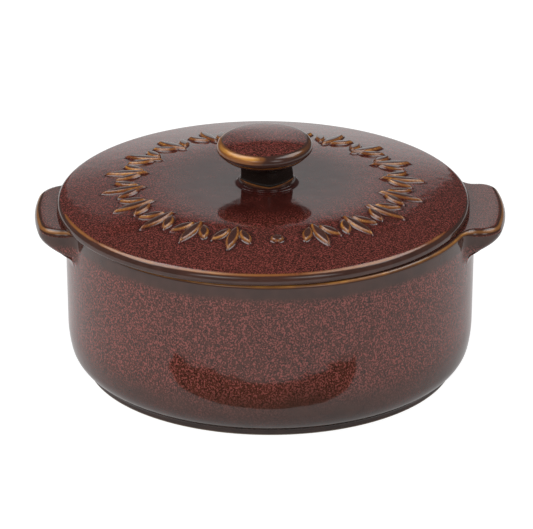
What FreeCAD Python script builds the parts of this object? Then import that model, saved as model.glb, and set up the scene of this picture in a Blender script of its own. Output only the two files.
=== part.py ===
import FreeCAD, Part
import math
import os

import Sketcher

# Camembert baker: a round stoneware dish with two lug handles, and a domed lid with a mushroom knob.
# Millimetres. Z is up, X runs through the handles, and the origin is the middle of the base.

DRIVING = [
    ("rim_diameter", 144.8, "outside of the dish at its rim"),
    ("dish_height", 59.5, "from the table to the rim"),
    ("corner_radius", 14.8, "corner between wall and base"),
    ("wall", 5.5, "thickness of the dish's wall"),
    ("floor", 6.0, "thickness of the dish's floor"),
    ("bore_bevel", 6.0, "bevel between wall and floor inside the dish"),
    ("rim_bevel", 1.3, "softened edge outside the rim and round the lugs"),
    ("lip_bevel", 0.9, "softened edge inside the rim"),
    ("foot_inset", 7.9, "how far the foot ring stands in from the wall"),
    ("foot_width", 5.0, "width of the foot ring"),
    ("foot_height", 1.8, "height of the foot ring"),
    ("lug_reach", 10.9, "how far a lug stands out from the rim"),
    ("lug_width", 43.0, "width of a lug"),
    ("lug_tip", 5.4, "thickness of a lug at its tip"),
    ("lug_root", 10.0, "thickness of a lug at the wall"),
    ("lug_corner", 8.0, "corner of a lug in plan"),
    ("lug_fillet", 6.5, "hollow corner between a lug and the wall"),
    ("lug_nose", 3.0, "rounding under a lug's tip"),
    ("lug_step", 0.5, "upright step beside the wall before the slope under a lug starts"),
    ("lid_diameter", 146.2, "outside of the lid"),
    ("lid_edge", 3.6, "thickness of the lid's edge"),
    ("edge_bevel", 1.1, "softened corners of the lid's edge"),
    ("skirt_angle", 7.4, "slope of the lid's outer part, in degrees"),
    ("crown_diameter", 72.0, "round middle of the lid, inside the sloping part"),
    ("lid_shell", 5.0, "thickness of the lid"),
    ("under_flat", 48.0, "flat middle under the lid, across"),
    ("ring_depth", 5.0, "how deep the locating ring reaches into the dish"),
    ("ring_width", 4.0, "width of the locating ring"),
    ("ring_clearance", 2.8, "room between the locating ring and the dish all round"),
    ("ring_gap", 0.4, "gap left on the side to which the lid has slid"),
    ("lid_turn", 6.5, "how far the lid is turned, in degrees"),
    ("flare_diameter", 21.0, "low step round the foot of the neck"),
    ("flare_height", 1.1, "height of that step"),
    ("neck_width", 18.4, "neck across two opposite edges"),
    ("neck_face", 17.0, "radius of each of the neck's four faces"),
    ("neck_height", 6.7, "from the top of the dome to the underside of the cap"),
    ("cap_diameter", 33.8, "knob's cap across"),
    ("cap_under", 19.0, "flat under the cap, across"),
    ("belly_height", 2.9, "from the cap's underside to its lip"),
    ("lip_width", 1.4, "how far the lip stands in from the cap's widest line"),
    ("lip_height", 1.9, "from the lip to the cap's widest line"),
    ("shoulder_width", 3.9, "width of the cap's rounded shoulder"),
    ("shoulder_height", 3.4, "height of the cap's rounded shoulder"),
    ("shoulder_radius", 4.1, "rounding of that shoulder"),
    ("cap_crown", 1.7, "rise of the cap's top inside its shoulder"),
    ("relief_diameter", 99.0, "middle line of the raised ring of leaves"),
    ("relief_height", 1.2, "how far the leaves stand up"),
    ("leaf_length", 15.6, "middle leaf of a sprig"),
    ("leaf_width", 3.6, "width of the middle leaf"),
    ("side_length", 9.4, "side leaf of a sprig"),
    ("side_width", 3.3, "width of a side leaf"),
    ("side_angle", 31.0, "angle between side leaf and middle leaf, in degrees"),
    ("side_start", 2.3, "how far up the sprig a side leaf starts"),
    ("side_gap", 1.9, "how far beside the middle a side leaf starts"),
    ("dot_diameter", 4.4, "round dot between two runs of sprigs"),
    ("slots", 20, "places round the ring: two dots and two runs of sprigs"),
    ("bite", 2.0, "how far an added form sinks into what carries it"),
]

DERIVED = [
    ("rim_radius", "rim_diameter / 2"),
    ("bore_radius", "rim_radius - wall"),
    ("floor_top", "foot_height + floor"),
    ("foot_radius", "rim_radius - foot_inset"),
    ("corner_height", "foot_height + sqrt(corner_radius ^ 2 - (corner_radius - foot_inset) ^ 2)"),
    ("lug_radius", "rim_radius + lug_reach"),
    ("lug_half", "lug_width / 2"),
    ("corner_reach", "lug_radius - lug_corner"),
    ("hollow_reach", "rim_radius + lug_fillet"),
    ("bend_gap", "lug_corner + lug_fillet"),
    ("corner_turn", "asin((lug_half - lug_corner) / corner_reach)"),
    ("bend_turn", "acos((corner_reach ^ 2 + hollow_reach ^ 2 - bend_gap ^ 2) / (2 * corner_reach * hollow_reach))"),
    ("hollow_turn", "corner_turn + bend_turn"),
    ("bend_share", "lug_corner / bend_gap"),
    ("bend_x", "corner_reach * cos(corner_turn) * (1 - bend_share) + hollow_reach * cos(hollow_turn) * bend_share"),
    ("bend_y", "corner_reach * sin(corner_turn) * (1 - bend_share) + hollow_reach * sin(hollow_turn) * bend_share"),
    ("lid_radius", "lid_diameter / 2"),
    ("skirt_radius", "lid_radius - edge_bevel"),
    ("lid_edge_top", "dish_height + lid_edge"),
    ("crown_radius", "crown_diameter / 2"),
    ("crown_start", "lid_edge_top + (skirt_radius - crown_radius) * tan(skirt_angle)"),
    ("dome_radius", "crown_radius / sin(skirt_angle)"),
    ("dome_centre", "crown_start - dome_radius * cos(skirt_angle)"),
    ("lid_crown", "dome_centre + dome_radius"),
    ("ring_outer", "bore_radius - ring_clearance"),
    ("ring_inner", "ring_outer - ring_width"),
    ("under_top", "lid_edge_top + (skirt_radius - under_flat / 2) * tan(skirt_angle) - lid_shell / cos(skirt_angle)"),
    ("under_edge", "under_top - (ring_inner - under_flat / 2) * tan(skirt_angle)"),
    ("lid_slide", "ring_clearance - ring_gap"),
    ("flare_radius", "flare_diameter / 2"),
    ("flare_foot", "dome_centre + sqrt(dome_radius ^ 2 - flare_radius ^ 2)"),
    ("cap_bottom", "lid_crown + neck_height"),
    ("cap_radius", "cap_diameter / 2"),
    ("lip_z", "cap_bottom + belly_height"),
    ("equator_z", "lip_z + lip_height"),
    ("shoulder_x", "cap_radius - shoulder_width"),
    ("shoulder_z", "equator_z + shoulder_height"),
    ("cap_dome_radius", "(shoulder_x ^ 2 + cap_crown ^ 2) / (2 * cap_crown)"),
    ("relief_radius", "relief_diameter / 2"),
    ("relief_z", "lid_edge_top + (skirt_radius - relief_radius) * tan(skirt_angle)"),
    ("sprigs_per_side", "floor((slots / 2 - 1) / 2)"),
    ("slot_angle", "360 / slots"),
]


class Dimensions:
    """The sheet of sizes: driving ones as plain numbers, the rest worked out from them."""

    def __init__(self, doc):
        self.sheet = doc.addObject("Spreadsheet::Sheet", "Dimensions")
        row = 1
        for alias, value, note in DRIVING:
            self.sheet.set(f"A{row}", alias)
            self.sheet.set(f"B{row}", str(value))
            self.sheet.setAlias(f"B{row}", alias)
            self.sheet.set(f"C{row}", note)
            row += 1
        doc.recompute()
        for alias, formula in DERIVED:
            self.sheet.set(f"A{row}", alias)
            self.sheet.set(f"B{row}", "=" + formula)
            self.sheet.setAlias(f"B{row}", alias)
            row += 1
            doc.recompute()

    def value(self, formula):
        """Work out a formula written with the sheet's names."""
        result = self.sheet.evalExpression(formula)
        return float(getattr(result, "Value", result))

    def bound(self, formula):
        """The same formula with each name pointing at the sheet, for use in another object."""
        names = {alias for alias, *_ in DRIVING} | {alias for alias, _ in DERIVED}
        text, word = "", ""
        for letter in formula + " ":
            if letter.isalnum() or letter == "_":
                word += letter
                continue
            text += f"Dimensions.{word}" if word in names else word
            text += letter
            word = ""
        return text.strip()


class Outline:
    """A closed outline in a sketch: each corner is placed, and each arc sized, by a formula."""

    def __init__(self, dims, sketch):
        self.dims = dims
        self.sketch = sketch
        self.corner = None
        self.first = None
        self.last = None
        self.here = None

    def _place(self, geometry, point, x, y):
        """Hold a point at two formulas measured from the sketch's origin."""
        for kind, formula in (("DistanceX", x), ("DistanceY", y)):
            number = self.sketch.addConstraint(
                Sketcher.Constraint(kind, -1, 1, geometry, point, self.dims.value(formula)))
            self.sketch.setExpression(f"Constraints[{number}]", self.dims.bound(formula))

    def _join(self, geometry, start, end):
        """Tie a new edge to the one before it."""
        if self.last is None:
            self.first = (geometry, start)
        else:
            self.sketch.addConstraint(Sketcher.Constraint("Coincident", *self.last, geometry, start))
        self.last = (geometry, end)

    def start(self, x, y):
        """Begin an outline at its first corner."""
        self.here = (x, y)
        self.corner = (x, y)
        self.first = None
        self.last = None
        return self

    def _vector(self, corner):
        return FreeCAD.Vector(self.dims.value(corner[0]), self.dims.value(corner[1]), 0)

    def line(self, x, y, closing=False):
        """A straight edge to the next corner."""
        target = (x, y)
        edge = Part.LineSegment(self._vector(self.here), self._vector(target))
        geometry = self.sketch.addGeometry(edge, False)
        self._join(geometry, 1, 2)
        self._finish(geometry, 2, target, closing)
        return self

    def arc(self, x, y, radius, left=True, closing=False):
        """An arc of the given radius to the next corner, turning left or right on its way."""
        target = (x, y)
        begin, end = self._vector(self.here), self._vector(target)
        size = self.dims.value(radius)
        chord = end - begin
        reach = math.sqrt(max(size ** 2 - (chord.Length / 2) ** 2, 0.0))
        across = FreeCAD.Vector(-chord.y, chord.x, 0).normalize()
        centre = (begin + end) / 2 + across * (reach if left else -reach)
        low, high = (begin, end) if left else (end, begin)
        first = math.atan2(low.y - centre.y, low.x - centre.x)
        last = math.atan2(high.y - centre.y, high.x - centre.x)
        circle = Part.Circle(centre, FreeCAD.Vector(0, 0, 1), size)
        geometry = self.sketch.addGeometry(Part.ArcOfCircle(circle, first, last), False)
        self._join(geometry, 1 if left else 2, 2 if left else 1)
        self._finish(geometry, 2 if left else 1, target, closing)
        number = self.sketch.addConstraint(Sketcher.Constraint("Radius", geometry, size))
        self.sketch.setExpression(f"Constraints[{number}]", self.dims.bound(radius))
        return self

    def _finish(self, geometry, point, target, closing):
        self._place(geometry, point, *target)
        if closing:
            self.sketch.addConstraint(Sketcher.Constraint("Coincident", *self.last, *self.first))
        self.here = target

    def close(self):
        """A straight edge back to the first corner."""
        return self.line(*self.corner, closing=True)


def origin_item(body, role):
    """One of the body's own origin planes or axes."""
    return next(item for item in body.Origin.OriginFeatures if item.Role == role)


def new_sketch(body, name, plane):
    """An empty sketch on one of the body's origin planes."""
    sketch = body.newObject("Sketcher::SketchObject", name)
    sketch.AttachmentSupport = [(origin_item(body, plane), "")]
    sketch.MapMode = "FlatFace"
    return sketch


def turned(body, kind, name, sketch):
    """Revolve a sketch, or cut with it, once round the body's Z axis."""
    feature = body.newObject(f"PartDesign::{kind}", name)
    feature.Profile = sketch
    feature.ReferenceAxis = (origin_item(body, "Z_Axis"), [""])
    feature.Angle = 360
    body.Document.recompute()
    return feature


def bevelled(body, dims, name, base, edges, size):
    """Bevel the named edges of the feature before it."""
    feature = body.newObject("PartDesign::Chamfer", name)
    feature.Base = (base, edges)
    feature.setExpression("Size", dims.bound(size))
    body.Document.recompute()
    return feature


def edges_where(feature, test):
    """Names of the feature's edges whose middle point and end points pass a test."""
    names = []
    for number, edge in enumerate(feature.Shape.Edges, start=1):
        middle = edge.valueAt((edge.FirstParameter + edge.LastParameter) / 2)
        if test([middle] + [vertex.Point for vertex in edge.Vertexes]):
            names.append(f"Edge{number}")
    return names


def outer_form(body, dims):
    """The dish as a solid of revolution: upright wall, rounded base corner and foot ring."""
    sketch = new_sketch(body, "OuterProfile", "XZ_Plane")
    outline = Outline(dims, sketch)
    outline.start("0", "foot_height")
    outline.line("foot_radius - foot_width", "foot_height")
    outline.line("foot_radius - foot_width", "0")
    outline.line("foot_radius", "0")
    outline.line("foot_radius", "foot_height")
    outline.arc("rim_radius", "corner_height", "corner_radius")
    outline.line("rim_radius", "dish_height")
    outline.line("0", "dish_height")
    outline.close()
    return turned(body, "Revolution", "OuterForm", sketch)


def lug_blanks(body, dims):
    """Both lugs as flat tabs level with the rim, with hollow corners that run out along the wall."""
    sketch = new_sketch(body, "LugOutline", "XY_Plane")
    sketch.setExpression("AttachmentOffset.Base.z", dims.bound("dish_height"))
    meet_x, meet_y = "rim_radius * cos(hollow_turn)", "rim_radius * sin(hollow_turn)"
    tip_x, tip_y = "lug_radius * cos(corner_turn)", "lug_radius * sin(corner_turn)"
    for side in ("", "-"):
        outline = Outline(dims, sketch)
        turns_left = side == ""
        outline.start(f"{side}{meet_x}", f"-{meet_y}")
        outline.arc(f"{side}bend_x", "-bend_y", "lug_fillet", left=not turns_left)
        outline.arc(f"{side}{tip_x}", f"-{tip_y}", "lug_corner", left=turns_left)
        outline.arc(f"{side}{tip_x}", tip_y, "lug_radius", left=turns_left)
        outline.arc(f"{side}bend_x", "bend_y", "lug_corner", left=turns_left)
        outline.arc(f"{side}{meet_x}", meet_y, "lug_fillet", left=not turns_left)
        outline.close()
    pad = body.newObject("PartDesign::Pad", "LugBlanks")
    pad.Profile = sketch
    pad.Reversed = True
    pad.setExpression("Length", dims.bound("lug_root"))
    body.Document.recompute()
    return pad


def lug_undersides(body, dims):
    """The slope under both lugs, from the wall up to the rounded nose of the tip."""
    sketch = new_sketch(body, "LugUnderside", "XZ_Plane")
    outline = Outline(dims, sketch)
    root_x, root_z = "rim_radius + lug_step", "dish_height - lug_root"
    nose_x, nose_z = "lug_radius + lug_step", "dish_height - lug_tip + lug_nose"
    outline.start(root_x, root_z)
    outline.line("lug_radius - lug_nose", "dish_height - lug_tip")
    outline.arc(nose_x, nose_z, "lug_nose + lug_step")
    outline.line(f"{nose_x} + bite", nose_z)
    outline.line(f"{nose_x} + bite", f"{root_z} - bite")
    outline.line(root_x, f"{root_z} - bite")
    outline.close()
    return turned(body, "Groove", "LugUndersides", sketch)


def rim_edge(body, dims, base):
    """One softened edge that runs along the rim and out round both lugs."""
    top = dims.value("dish_height")

    def on_top(points):
        return all(abs(p.z - top) < 0.01 for p in points)

    return bevelled(body, dims, "RimEdge", base, edges_where(base, on_top), "rim_bevel")


def cavity(body, dims):
    """The inside of the dish, with bevelled floor corner and lip."""
    sketch = new_sketch(body, "CavityProfile", "XZ_Plane")
    outline = Outline(dims, sketch)
    outline.start("0", "floor_top")
    outline.line("bore_radius - bore_bevel", "floor_top")
    outline.line("bore_radius", "floor_top + bore_bevel")
    outline.line("bore_radius", "dish_height - lip_bevel")
    outline.line("bore_radius + lip_bevel + bite", "dish_height + bite")
    outline.line("0", "dish_height + bite")
    outline.close()
    return turned(body, "Groove", "Cavity", sketch)


def build_dish(doc, dims):
    """The baking dish: one piece of stoneware, body, foot ring and two lugs."""
    body = doc.addObject("PartDesign::Body", "Dish")
    body.Label = "dish"
    outer_form(body, dims)
    lug_blanks(body, dims)
    lugs = lug_undersides(body, dims)
    rim_edge(body, dims, lugs)
    cavity(body, dims)
    return body


def lid_shell(body, dims):
    """The lid without its knob: edge, sloping skirt, round crown, hollow underside and locating ring."""
    sketch = new_sketch(body, "LidProfile", "XZ_Plane")
    outline = Outline(dims, sketch)
    step_z = "flare_foot + flare_height"
    outline.start("0", "under_top")
    outline.line("under_flat / 2", "under_top")
    outline.line("ring_inner", "under_edge")
    outline.line("ring_inner", "dish_height - ring_depth")
    outline.line("ring_outer", "dish_height - ring_depth")
    outline.line("ring_outer", "dish_height")
    outline.line("lid_radius - edge_bevel", "dish_height")
    outline.line("lid_radius", "dish_height + edge_bevel")
    outline.line("lid_radius", "lid_edge_top - edge_bevel")
    outline.line("skirt_radius", "lid_edge_top")
    outline.line("crown_radius", "crown_start")
    outline.arc("flare_radius", "flare_foot", "dome_radius")
    outline.line("flare_radius - flare_height", step_z)
    outline.line("0", step_z)
    outline.close()
    return turned(body, "Revolution", "LidShell", sketch)


def neck(body, dims):
    """The knob's neck: four slightly swelling faces that meet in upright edges."""
    sketch = new_sketch(body, "NeckOutline", "XY_Plane")
    sketch.setExpression("AttachmentOffset.Base.z", dims.bound("lid_crown - bite"))
    reach = "neck_width / 2"
    outline = Outline(dims, sketch)
    outline.start(reach, "0")
    outline.arc("0", reach, "neck_face")
    outline.arc(f"-{reach}", "0", "neck_face")
    outline.arc("0", f"-{reach}", "neck_face")
    outline.arc(reach, "0", "neck_face", closing=True)
    pad = body.newObject("PartDesign::Pad", "Neck")
    pad.Profile = sketch
    pad.setExpression("Length", dims.bound("neck_height + bite + belly_height"))
    body.Document.recompute()
    return pad


def cap(body, dims):
    """The knob's cap: flared underside, lip, rounded shoulder and low crown."""
    sketch = new_sketch(body, "CapProfile", "XZ_Plane")
    outline = Outline(dims, sketch)
    outline.start("0", "cap_bottom")
    outline.line("cap_under / 2", "cap_bottom")
    outline.line("cap_radius - lip_width", "lip_z")
    outline.line("cap_radius", "equator_z")
    outline.arc("shoulder_x", "shoulder_z", "shoulder_radius")
    outline.arc("0", "shoulder_z + cap_crown", "cap_dome_radius")
    outline.close()
    return turned(body, "Revolution", "Cap", sketch)


def leaf(outline, base, tip, radius):
    """A pointed leaf between two points, bounded by two arcs."""
    outline.start(*base)
    outline.arc(*tip, radius)
    outline.arc(*base, radius, closing=True)


def skirt_sketch(body, dims, name, across, along):
    """An empty sketch on a plane that lies along the lid's skirt, just above it, at the relief's middle line.

    The plane leans about the axis named in across, and its middle lies out along the other one.
    """
    sketch = new_sketch(body, name, "XY_Plane")
    sketch.AttachmentOffset = FreeCAD.Placement(
        FreeCAD.Vector(), FreeCAD.Rotation(across, dims.value("skirt_angle")))
    sign, letter = along
    out = dims.bound("relief_radius + relief_height * sin(skirt_angle)")
    sketch.setExpression(f"AttachmentOffset.Base.{letter}", f"{sign}({out})")
    sketch.setExpression("AttachmentOffset.Base.z", dims.bound("relief_z + relief_height * cos(skirt_angle)"))
    sketch.setExpression("AttachmentOffset.Rotation.Angle", dims.bound("skirt_angle"))
    return sketch


def sprig(body, dims):
    """One sprig of three leaves on the lid's skirt."""
    sketch = skirt_sketch(body, dims, "SprigOutline", FreeCAD.Vector(0, 1, 0), ("", "x"))
    outline = Outline(dims, sketch)
    leaf(outline, ("-leaf_length / 2", "0"), ("leaf_length / 2", "0"),
         "leaf_length ^ 2 / (4 * leaf_width) + leaf_width / 4")
    side_radius = "side_length ^ 2 / (4 * side_width) + side_width / 4"
    start_x = "side_start - leaf_length / 2"
    for side in ("", "-"):
        base = (start_x, f"{side}side_gap")
        tip = (f"{start_x} + side_length * cos(side_angle)",
               f"{side}(side_gap + side_length * sin(side_angle))")
        leaf(outline, base, tip, side_radius)
    pad = body.newObject("PartDesign::Pad", "Sprig")
    pad.Profile = sketch
    pad.Reversed = True
    pad.setExpression("Length", dims.bound("relief_height + bite"))
    body.Document.recompute()
    return pad


def dot(body, dims):
    """The round dot at the front of the ring."""
    sketch = skirt_sketch(body, dims, "DotOutline", FreeCAD.Vector(1, 0, 0), ("-", "y"))
    outline = Part.Circle(FreeCAD.Vector(), FreeCAD.Vector(0, 0, 1), dims.value("dot_diameter / 2"))
    circle = sketch.addGeometry(outline, False)
    sketch.addConstraint(Sketcher.Constraint("Coincident", circle, 3, -1, 1))
    number = sketch.addConstraint(Sketcher.Constraint("Diameter", circle, dims.value("dot_diameter")))
    sketch.setExpression(f"Constraints[{number}]", dims.bound("dot_diameter"))
    pad = body.newObject("PartDesign::Pad", "Dot")
    pad.Profile = sketch
    pad.Reversed = True
    pad.setExpression("Length", dims.bound("relief_height + bite"))
    body.Document.recompute()
    return pad


def dot_pair(body, first_dot):
    """The same dot again on the far side of the ring."""
    pair = body.newObject("PartDesign::PolarPattern", "DotPair")
    pair.Originals = [first_dot]
    pair.Axis = (origin_item(body, "Z_Axis"), [""])
    pair.Occurrences = 2
    pair.Angle = 360
    body.Tip = pair
    body.Document.recompute()
    return pair


def sprig_ring(body, dims, first_sprig):
    """A fan of sprigs to both sides of the first one, and the same on the other half."""
    ring = body.newObject("PartDesign::MultiTransform", "SprigRing")
    ring.Originals = [first_sprig]
    body.Tip = ring
    fan = body.newObject("PartDesign::PolarPattern", "SprigFan")
    fan.Axis = (origin_item(body, "Z_Axis"), [""])
    fan.setExpression("Occurrences", dims.bound("sprigs_per_side + 1"))
    fan.setExpression("Angle", dims.bound("sprigs_per_side * slot_angle"))
    flip = body.newObject("PartDesign::Mirrored", "SprigFlip")
    flip.MirrorPlane = (origin_item(body, "XZ_Plane"), [""])
    half = body.newObject("PartDesign::PolarPattern", "SprigHalf")
    half.Axis = (origin_item(body, "Z_Axis"), [""])
    half.Occurrences = 2
    half.Angle = 360
    ring.Transformations = [fan, flip, half]
    body.Tip = ring
    body.Document.recompute()
    return ring


def build_lid(doc, dims):
    """The lid: one piece of stoneware, dome, locating ring, knob and raised leaves."""
    body = doc.addObject("PartDesign::Body", "Lid")
    body.Label = "lid"
    lid_shell(body, dims)
    neck(body, dims)
    cap(body, dims)
    dot_pair(body, dot(body, dims))
    sprig_ring(body, dims, sprig(body, dims))
    body.setExpression("Placement.Base.x", dims.bound("-lid_slide"))
    body.setExpression("Placement.Rotation.Angle", dims.bound("lid_turn"))
    doc.recompute()
    return body


def check(doc, bodies):
    """Stop if any object failed or any piece isn't one sound solid."""
    for item in doc.Objects:
        if "Invalid" in item.State or "Error" in item.State:
            raise RuntimeError(f"{item.Name} failed: {item.State}")
    for body in bodies:
        shape = body.Shape
        if shape.isNull() or not shape.isValid() or len(shape.Solids) != 1:
            raise RuntimeError(f"{body.Label} is not one sound solid")


def main():
    doc = FreeCAD.newDocument("CamembertBaker")
    dims = Dimensions(doc)
    bodies = [build_dish(doc, dims), build_lid(doc, dims)]
    doc.recompute()
    check(doc, bodies)
    os.makedirs("parts", exist_ok=True)
    for body in bodies:
        body.Shape.exportStep(f"parts/{body.Label}.step")
        box = body.Shape.BoundBox
        print(f"{body.Label}: volume {body.Shape.Volume / 1000:.1f} cm3, "
              f"x {box.XMin:.2f} {box.XMax:.2f}, y {box.YMin:.2f} {box.YMax:.2f}, z {box.ZMin:.2f} {box.ZMax:.2f}")


main()
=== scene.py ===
# Camembert baker: looks of a stoneware dish and lid in a glossy, speckled maroon glaze.
# Sizes are in millimetres in the row's frame, and every mesh is written in metres.

import logging
import math
from dataclasses import dataclass
from enum import Enum

import bpy
import numpy as np
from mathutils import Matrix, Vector


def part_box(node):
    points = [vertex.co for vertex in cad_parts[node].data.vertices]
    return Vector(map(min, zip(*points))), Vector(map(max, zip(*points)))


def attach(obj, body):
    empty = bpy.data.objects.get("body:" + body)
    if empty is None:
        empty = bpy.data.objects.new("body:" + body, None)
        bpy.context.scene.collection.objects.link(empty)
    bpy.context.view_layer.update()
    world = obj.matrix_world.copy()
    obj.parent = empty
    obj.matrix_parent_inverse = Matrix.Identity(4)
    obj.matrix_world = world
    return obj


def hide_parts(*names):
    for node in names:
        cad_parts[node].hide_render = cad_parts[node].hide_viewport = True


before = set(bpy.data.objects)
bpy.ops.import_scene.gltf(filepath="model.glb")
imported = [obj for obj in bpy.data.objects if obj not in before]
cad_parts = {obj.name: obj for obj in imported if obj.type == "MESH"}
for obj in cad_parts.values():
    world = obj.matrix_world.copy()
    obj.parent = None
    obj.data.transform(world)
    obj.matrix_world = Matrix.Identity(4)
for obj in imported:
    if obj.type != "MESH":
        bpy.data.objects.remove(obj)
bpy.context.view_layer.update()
MM = 0.001
FAR = 30.0
Array = np.ndarray
Pair = tuple[float, float]
Triple = tuple[float, float, float]
Screen = tuple[int, int, int]
Node = bpy.types.Node
Socket = bpy.types.NodeSocket
Material = bpy.types.Material
log = logging.getLogger("camembert_baker")


class Turn(Enum):
    """Which way an arc bends on its way from its first point to its last."""

    LEFT = 1.0
    RIGHT = -1.0


class Field(Enum):
    """The surface fields that the glaze reads, each stored at every vertex."""

    EDGE = "edge_gap"
    SMOOTH = "smooth"
    # Darkening where glaze pools in hollows, and painted shade on the dish's foot, the knob's neck and the
    # dome round the knob.
    POOL_AND_SHADE = "pool"
    BARE = "bare"


class Path:
    """A profile drawn stretch by stretch, each from where the one before ends."""

    def __init__(self, *points: Pair | Array) -> None:
        """Start with one point or more."""
        self.points = [np.array(points, float)]
        self.at = points[-1]

    def jump(self, point: Pair) -> "Path":
        """Go on from another point, which isn't added."""
        self.at = point
        return self

    def through(self, points: Array) -> "Path":
        """Add points that are worked out already."""
        self.points.append(points)
        return self.jump(points[-1])

    def line(self, end: Pair, count: int) -> "Path":
        """Add evenly spaced points up to an end, where the count holds both ends."""
        share = np.linspace(0.0, 1.0, count)[1:, None]
        self.points.append(np.array(self.at, float) * (1 - share) + np.array(end, float) * share)
        return self.jump(end)

    def arc(self, end: Pair, radius: float, turn: Turn, count: int) -> "Path":
        """Add points of a circle's arc up to an end.

        The centre lies off the chord's middle by the root of radius squared less half chord squared.

        Args:
            end: Last point.
            radius: Radius of the circle.
            turn: Way in which the arc bends.
            count: Number of points, with both ends.

        Returns:
            The path itself.
        """
        first, last = np.array(self.at, float), np.array(end, float)
        chord = last - first
        length = float(np.hypot(*chord))
        across = np.array([-chord[1], chord[0]]) / length * turn.value
        centre = (first + last) / 2 + across * math.sqrt(max(radius ** 2 - length ** 2 / 4, 0.0))
        from_angle = math.atan2(*(first - centre)[::-1])
        sweep = turn.value * 2 * math.asin(min(length / 2 / radius, 1.0))
        angles = from_angle + sweep * np.linspace(0.0, 1.0, count)[1:]
        self.points.append(centre + radius * np.stack([np.cos(angles), np.sin(angles)], axis=1))
        return self.jump(end)

    def whole(self) -> Array:
        """All points as an array of count by 2."""
        return np.concatenate(self.points)


def eased(value: Array, low: float, high: float) -> Array:
    """Smooth step: 0 at low, 1 at high, and three squares less two cubes of the share between."""
    share = np.clip((value - low) / (high - low), 0.0, 1.0)
    return share * share * (3 - 2 * share)


class Skin:
    """A closed surface built up from rings of points, from one pole to the other."""

    def __init__(self) -> None:
        """Start with no points and no faces."""
        self.points: list[Array] = []
        self.faces: list[Array] = []
        self.fields: dict[Field, list[Array]] = {field: [] for field in Field}
        self.count = 0
        self.last_ring: Array | None = None

    def _store(self, points: Array, fields: dict[Field, Array]) -> Array:
        """Keep points and their fields.

        Args:
            points: Array of any shape by 3.
            fields: Values for some fields, one or one per point. The rest is FAR for EDGE, else 0.

        Returns:
            The points' numbers in the mesh, in the array's shape.
        """
        shape = points.shape[:-1]
        total = int(np.prod(shape))
        self.points.append(points.reshape(-1, 3))
        for field in Field:
            rest = FAR if field is Field.EDGE else 0.0
            values = np.broadcast_to(np.asarray(fields.get(field, rest), float), shape)
            self.fields[field].append(values.reshape(-1))
        numbers = np.arange(self.count, self.count + total).reshape(shape)
        self.count += total
        return numbers

    def pole(self, height: float, centre: Pair = (0.0, 0.0)) -> None:
        """Close the surface at a single point on the axis, or open it there.

        Args:
            height: Height of the point.
            centre: Place of the axis in plan.
        """
        number = int(self._store(np.array([[centre[0], centre[1], height]]), {})[0])
        if self.last_ring is None:
            self.last_ring = np.array([number])
            return
        ring = self.last_ring
        self.faces.append(np.stack([ring, np.roll(ring, -1), np.full_like(ring, number)], axis=1))

    def rings(self, points: Array, fields: dict[Field, Array]) -> None:
        """Add a grid of rings by columns, and join it to the ring before it.

        Rings with equally many points are joined by four-sided faces. Where one has three times as many as
        the other, three triangles and one more close each step.

        Args:
            points: Array of rings by columns by 3.
            fields: Values for the fields, in a shape that fits the grid.
        """
        numbers = self._store(points, fields)
        before = self.last_ring
        if before is not None:
            self._bridge(before, numbers[0])
        low, high = numbers[:-1], numbers[1:]
        self.faces.append(np.stack(
            [low, np.roll(low, -1, axis=1), np.roll(high, -1, axis=1), high], axis=-1).reshape(-1, 4))
        self.last_ring = numbers[-1]

    def _bridge(self, below: Array, above: Array) -> None:
        """Join two neighbouring rings of points.

        Args:
            below: Point numbers of the earlier ring.
            above: Point numbers of the later ring.
        """
        if len(below) == 1:
            self.faces.append(np.stack([np.full_like(above, below[0]), np.roll(above, -1), above], axis=1))
        elif len(below) == len(above):
            self.faces.append(np.stack([below, np.roll(below, -1), np.roll(above, -1), above], axis=1))
        else:
            coarse, fine = (below, above) if len(below) < len(above) else (above, below)
            steps = fine.reshape(len(coarse), 3)
            ahead, past = np.roll(coarse, -1), np.roll(steps[:, 0], -1)
            fans = [(coarse, steps[:, 1], steps[:, 0]), (coarse, steps[:, 2], steps[:, 1]),
                    (coarse, ahead, steps[:, 2]), (ahead, past, steps[:, 2])]
            flip = slice(None) if coarse is below else slice(None, None, -1)
            self.faces.extend(np.stack(fan[flip], axis=1) for fan in fans)

    def piece(self, name: str, material: Material) -> bpy.types.Object:
        """Write the surface as a smooth mesh object in metres.

        Args:
            name: Name of the object.
            material: Its finish.

        Returns:
            The object, standing at the origin.
        """
        mesh = bpy.data.meshes.new(name)
        faces = [face for group in self.faces for face in group.tolist()]
        mesh.from_pydata((np.concatenate(self.points) * MM).tolist(), [], faces)
        for field, values in self.fields.items():
            layer = mesh.attributes.new(field.value, "FLOAT", "POINT")
            layer.data.foreach_set("value", np.concatenate(values).astype(np.float32))
        mesh.shade_smooth()
        mesh.materials.append(material)
        mesh.validate()
        mesh.update()
        obj = bpy.data.objects.new(name, mesh)
        bpy.context.scene.collection.objects.link(obj)
        return obj


def turned(profile: Array, angles: Array) -> Array:
    """Turn a profile about the upright axis: each profile point at each angle.

    Args:
        profile: Radius and height of each ring.
        angles: Angle of each column.

    Returns:
        Array of rings by columns by 3.
    """
    radius, height = profile[:, :1], profile[:, 1:]
    x, y = radius * np.cos(angles), radius * np.sin(angles)
    return np.stack([x, y, np.broadcast_to(height, x.shape)], axis=-1)


def near(profile: Array, place: Pair) -> Array:
    """Distance of each ring of a profile from one place in its section."""
    return np.hypot(profile[:, 0] - place[0], profile[:, 1] - place[1])


def run_along(points: Array) -> Array:
    """Length of the way from the first ring of a grid to each ring, along each column."""
    steps = np.linalg.norm(np.diff(points, axis=0), axis=-1)
    return np.concatenate([np.zeros((1, points.shape[1])), np.cumsum(steps, axis=0)])


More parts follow.
